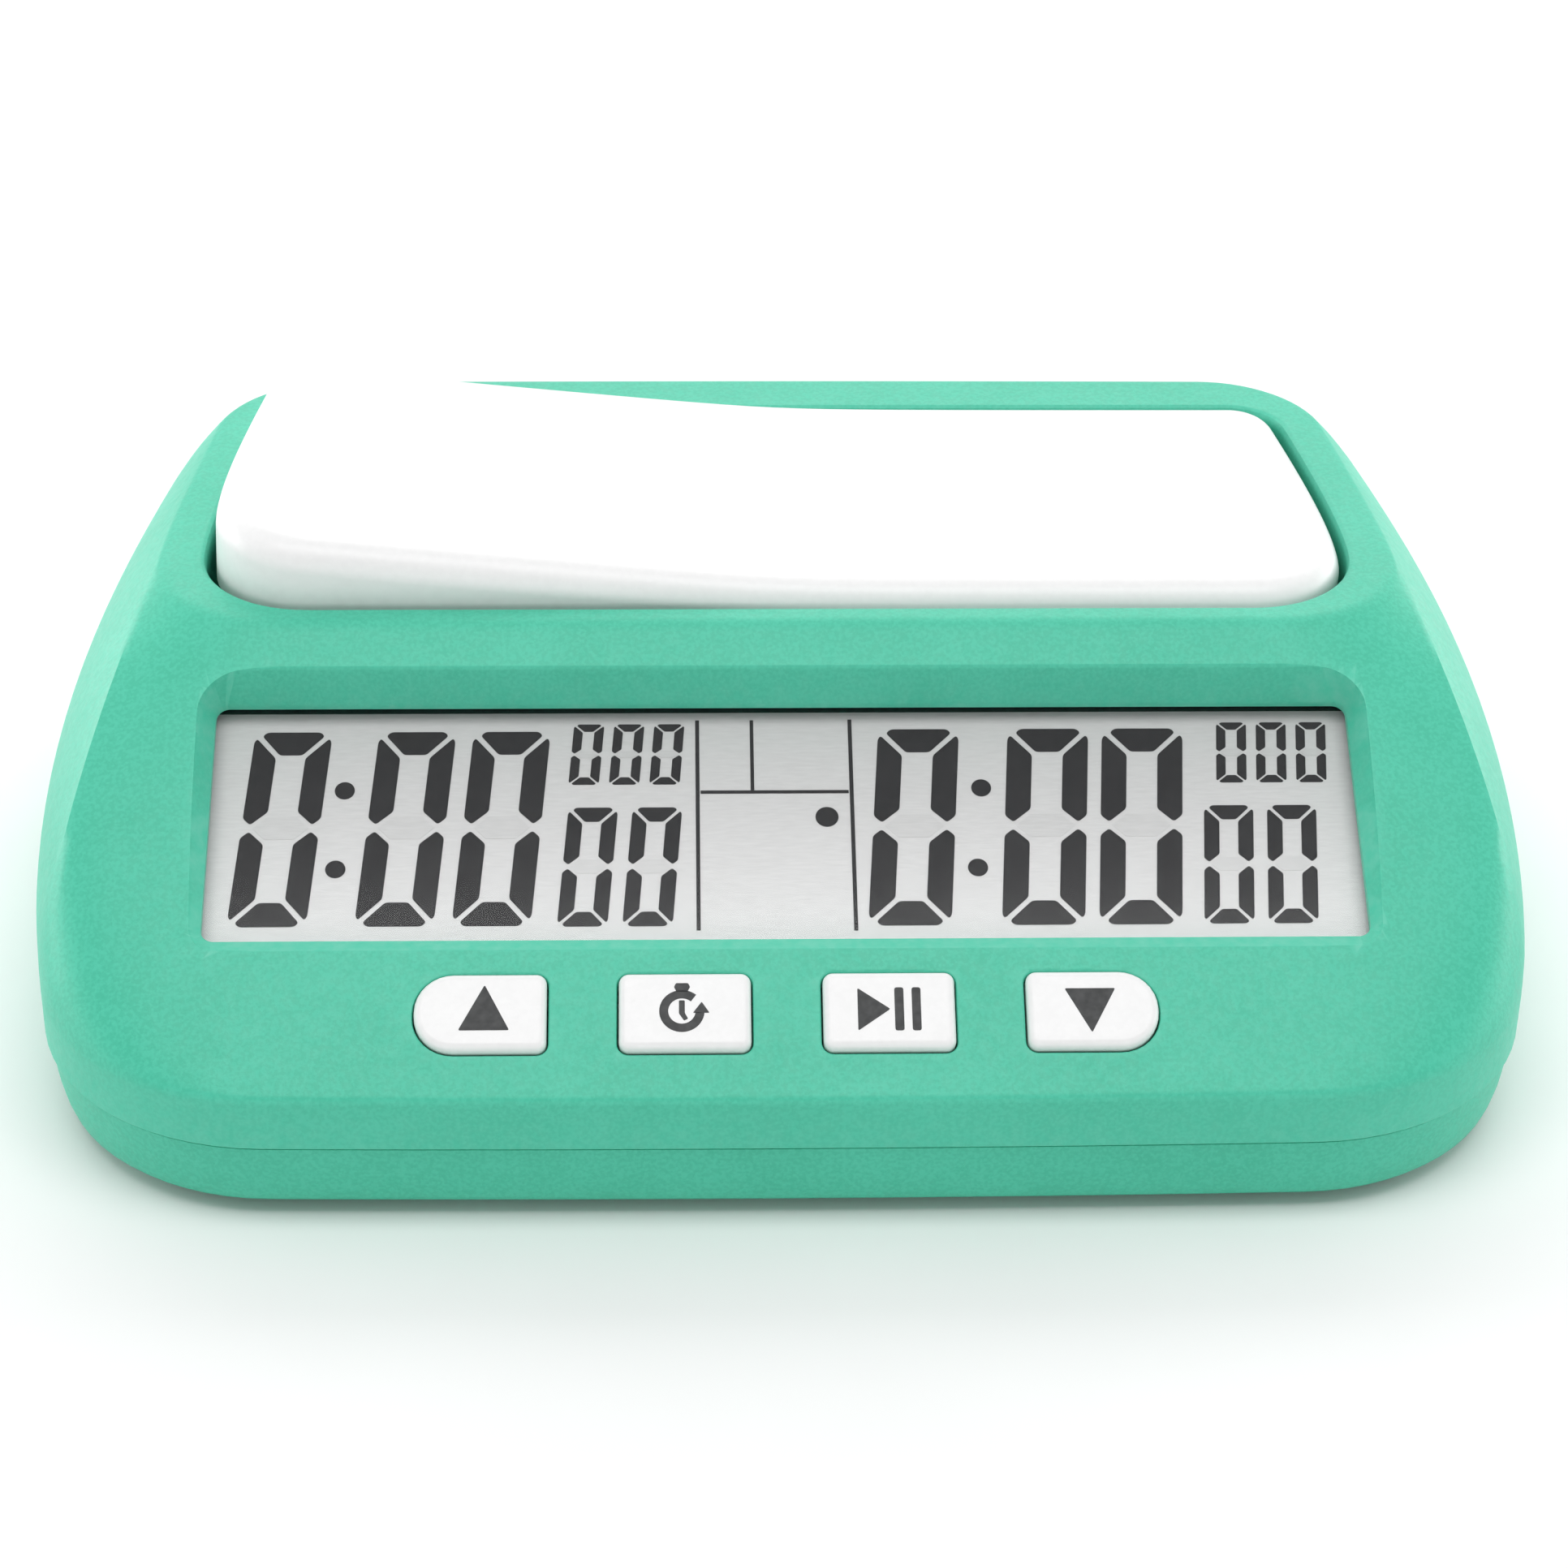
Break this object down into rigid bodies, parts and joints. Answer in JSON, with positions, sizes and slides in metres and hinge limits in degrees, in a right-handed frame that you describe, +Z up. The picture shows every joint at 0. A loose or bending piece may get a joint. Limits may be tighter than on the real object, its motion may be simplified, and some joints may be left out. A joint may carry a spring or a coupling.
{
  "type": "chess clock",
  "caption": "Digital chess clock with a see-saw lever on top, a sloped liquid crystal display and push buttons, on rubber feet",
  "frame": {"origin": "centre of the footprint, on the table plane under the rubber feet", "axes": "+X to the right seen from the display side, +Y from the display side to the rear, +Z up"},
  "size_m": [0.1536, 0.102, 0.0488],
  "materials": {
    "mint_shell": "fine matte grain",
    "white_plastic": "satin",
    "clear_lens": "polished clear plastic",
    "display": "grey reflective display",
    "black_plastic": "matte",
    "red_lead": "semi gloss",
    "soft_rubber": "matte",
    "circuit_board": "varnished",
    "bright_steel": "nickel plated",
    "cell_sleeve": "printed sleeve"
  },
  "bodies": {
    "case": {"upper_case": "mint_shell", "lower_case": "mint_shell", "lens": "clear_lens", "lcd_glass": "display", "lcd_frame": "black_plastic", "epoxy_chip": "black_plastic", "capacitor": "black_plastic", "power_switch": "black_plastic", "buzzer": "black_plastic", "rocker_switch_left": "black_plastic", "rocker_switch_right": "black_plastic", "button_switch_up": "black_plastic", "button_switch_timer": "black_plastic", "button_switch_start": "black_plastic", "button_switch_down": "black_plastic", "battery_lead_black": "black_plastic", "switch_lead": "black_plastic", "buzzer_lead": "black_plastic", "rocker_lead_left": "black_plastic", "rocker_lead_right": "black_plastic", "battery_lead_red": "red_lead", "foot_1": "soft_rubber", "foot_2": "soft_rubber", "foot_3": "soft_rubber", "foot_4": "soft_rubber", "rocker_bumper_left": "soft_rubber", "rocker_bumper_right": "soft_rubber", "zebra_strip": "soft_rubber", "main_board": "circuit_board", "rocker_board_left": "circuit_board", "rocker_board_right": "circuit_board", "rocker_axle": "bright_steel", "board_screw_1": "bright_steel", "board_screw_2": "bright_steel", "board_screw_3": "bright_steel", "board_screw_4": "bright_steel", "rocker_board_screw_left": "bright_steel", "rocker_board_screw_right": "bright_steel", "case_screw_1": "bright_steel", "case_screw_2": "bright_steel", "case_screw_3": "bright_steel", "case_screw_4": "bright_steel", "contact_plus": "bright_steel", "contact_minus": "bright_steel", "contact_spring": "bright_steel", "crystal": "bright_steel", "battery_cell": "cell_sleeve"},
    "rocker": {"rocker": "white_plastic"},
    "button_up": {"button_up": "white_plastic"},
    "button_timer": {"button_timer": "white_plastic"},
    "button_start": {"button_start": "white_plastic"},
    "button_down": {"button_down": "white_plastic"},
    "battery_door": {"battery_door": "mint_shell"},
    "power_knob": {"power_knob": "black_plastic"}
  },
  "joints": [
    {"name": "rocker_pivot", "type": "hinge", "parent": "case", "child": "rocker", "pos_m": [0, 0.0175, 0.038], "axis": [0, -1, 0], "range_deg": [0, 5.8]},
    {"name": "button_up_press", "type": "slide", "parent": "case", "child": "button_up", "axis": [0, 0.5232, -0.8522], "range_m": [0, 0.0008], "stiffness_N_per_m": 500, "springref_m": -0.0004},
    {"name": "button_timer_press", "type": "slide", "parent": "case", "child": "button_timer", "axis": [0, 0.5232, -0.8522], "range_m": [0, 0.0008], "stiffness_N_per_m": 500, "springref_m": -0.0004},
    {"name": "button_start_press", "type": "slide", "parent": "case", "child": "button_start", "axis": [0, 0.5232, -0.8522], "range_m": [0, 0.0008], "stiffness_N_per_m": 500, "springref_m": -0.0004},
    {"name": "button_down_press", "type": "slide", "parent": "case", "child": "button_down", "axis": [0, 0.5232, -0.8522], "range_m": [0, 0.0008], "stiffness_N_per_m": 500, "springref_m": -0.0004},
    {"name": "battery_door_lift", "type": "slide", "parent": "case", "child": "battery_door", "axis": [0, 0, -1], "range_m": [0, 0.02]},
    {"name": "power_knob_slide", "type": "slide", "parent": "case", "child": "power_knob", "axis": [1, 0, 0], "range_m": [0, 0.003]}
  ]
}
